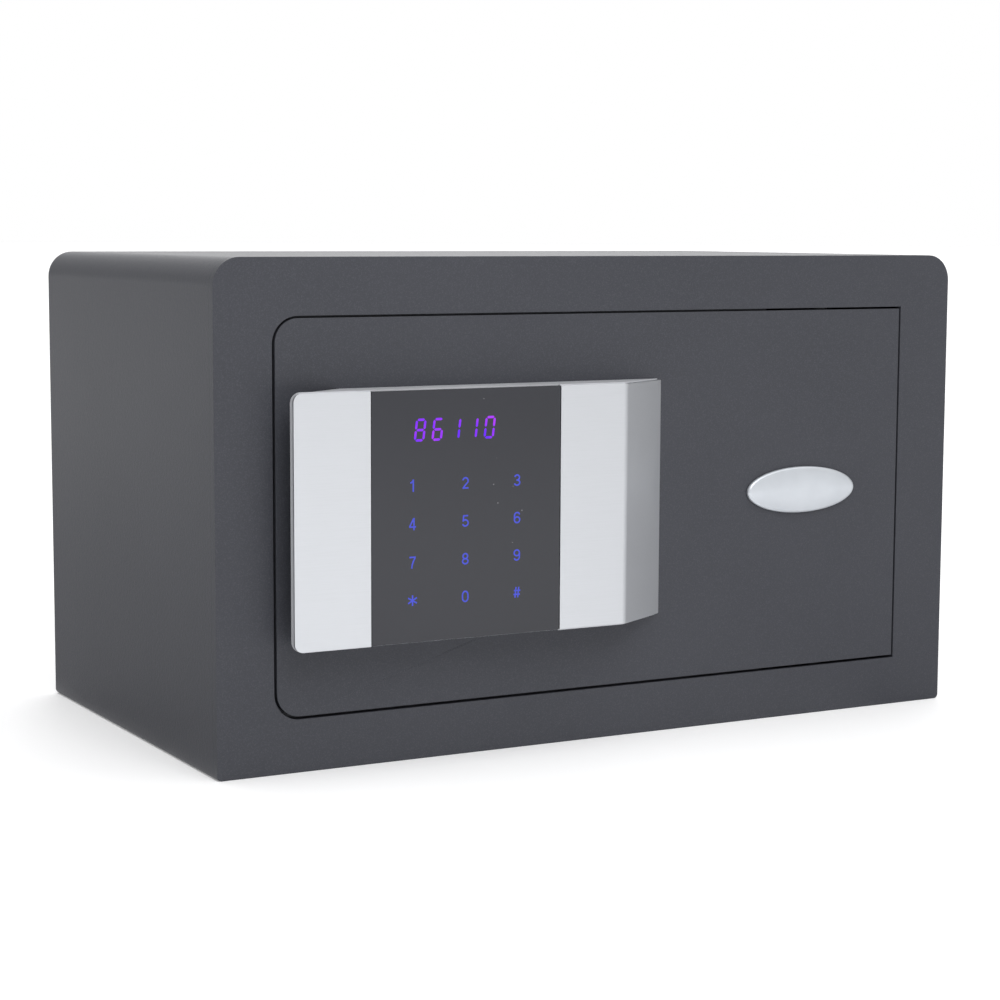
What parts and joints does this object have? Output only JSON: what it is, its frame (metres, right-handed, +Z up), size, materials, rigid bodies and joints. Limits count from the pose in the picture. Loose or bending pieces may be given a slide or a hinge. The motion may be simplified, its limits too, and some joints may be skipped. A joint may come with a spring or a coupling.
{
  "type": "hotel room safe",
  "caption": "Small steel safe with a flush hinged door, touch keypad console, motor driven bolts and an emergency key lock behind a swivel oval badge.",
  "frame": {"origin": "centre of the four base anchor holes, on the underside of the base", "axes": "+X to the right seen from the front, +Y from the front plate back into the safe, +Z up"},
  "size_m": [0.35, 0.2115, 0.2],
  "materials": {
    "powder_coat": "fine textured powder coat, satin",
    "inner_coat": "smooth satin coat",
    "zinc_steel": "zinc plated, satin",
    "brushed_plate": "brushed, horizontal grain",
    "silver_plastic": "satin silver",
    "black_gloss": "polished acrylic",
    "circuit_board": "solder mask",
    "display_plastic": "moulded",
    "nylon": "moulded",
    "black_plastic": "fine grain",
    "felt": "needled felt",
    "lock_brass": "machined",
    "cell_label": "shrink sleeve",
    "button_red": "moulded",
    "ribbon": "PVC"
  },
  "bodies": {
    "carcass": {"front_plate": "powder_coat", "shell_wrap": "powder_coat", "base_plate": "powder_coat", "back_plate": "powder_coat", "door_stop_frame": "powder_coat", "bolt_keeper": "zinc_steel", "hinge_bracket_upper": "powder_coat", "hinge_bracket_lower": "powder_coat", "hinge_washer_upper": "black_plastic", "hinge_washer_lower": "black_plastic", "floor_mat": "felt"},
    "door": {"door_plate": "powder_coat", "hinge_lug_upper": "powder_coat", "hinge_lug_lower": "powder_coat", "hinge_pin_upper": "zinc_steel", "hinge_pin_lower": "zinc_steel", "inner_cover": "inner_coat", "cover_posts": "zinc_steel", "cover_screws": "zinc_steel", "bolt_guide": "zinc_steel", "rack_guide": "nylon", "link_guide": "nylon", "gear_motor": "zinc_steel", "motor_bracket": "zinc_steel", "motor_screws": "zinc_steel", "control_board": "circuit_board", "board_standoffs": "nylon", "battery_holder": "black_plastic", "battery_1": "cell_label", "battery_2": "cell_label", "battery_3": "cell_label", "battery_4": "cell_label", "battery_rails": "inner_coat", "console_housing": "silver_plastic", "trim_left": "brushed_plate", "trim_right": "brushed_plate", "touch_panel": "black_gloss", "touch_board": "circuit_board", "display_module": "display_plastic", "console_screws": "zinc_steel", "lock_barrel": "zinc_steel", "lock_nut": "zinc_steel", "reset_switch": "black_plastic", "ribbon_cable": "ribbon"},
    "bolts": {"bolt_upper": "zinc_steel", "bolt_lower": "zinc_steel", "bolt_carriage": "zinc_steel", "bolt_screws": "zinc_steel", "bolt_rack": "zinc_steel", "emergency_link": "zinc_steel"},
    "pinion": {"motor_pinion": "lock_brass", "output_shaft": "zinc_steel"},
    "badge": {"badge_cover": "brushed_plate", "badge_stud": "zinc_steel", "badge_clip": "zinc_steel"},
    "key": {"key_plug": "lock_brass", "lock_cam": "zinc_steel", "cam_screw": "zinc_steel"},
    "battery_lid": {"battery_cover": "inner_coat"},
    "reset": {"reset_button": "button_red"}
  },
  "joints": [
    {"name": "door_swing", "type": "hinge", "parent": "carcass", "child": "door", "pos_m": [0.1097, -0.08975, 0.0993], "axis": [0, 0, 1], "range_deg": [0, 105]},
    {"name": "bolt_slide", "type": "slide", "parent": "door", "child": "bolts", "axis": [-1, 0, 0], "range_m": [0, 0.018]},
    {"name": "pinion_turn", "type": "hinge", "parent": "door", "child": "pinion", "pos_m": [-0.066, -0.076, 0.0905], "axis": [0, 0, -1], "range_deg": [0, 148]},
    {"name": "badge_swivel", "type": "hinge", "parent": "door", "child": "badge", "pos_m": [0.1161, -0.098, 0.0993], "axis": [0, -1, 0], "range_deg": [0, 90]},
    {"name": "key_turn", "type": "hinge", "parent": "door", "child": "key", "pos_m": [0.084, -0.0979, 0.0993], "axis": [0, 1, 0], "range_deg": [0, 107]},
    {"name": "battery_lid_slide", "type": "slide", "parent": "door", "child": "battery_lid", "axis": [-1, 0, 0], "range_m": [0, 0.062]},
    {"name": "reset_press", "type": "slide", "parent": "door", "child": "reset", "axis": [0, -1, 0], "range_m": [0, 0.0015], "stiffness_N_per_m": 400, "springref_m": -0.001}
  ],
  "couplings": [
    {"joint": "pinion_turn", "follows": "bolt_slide", "rad_per_m": 142.86}
  ]
}
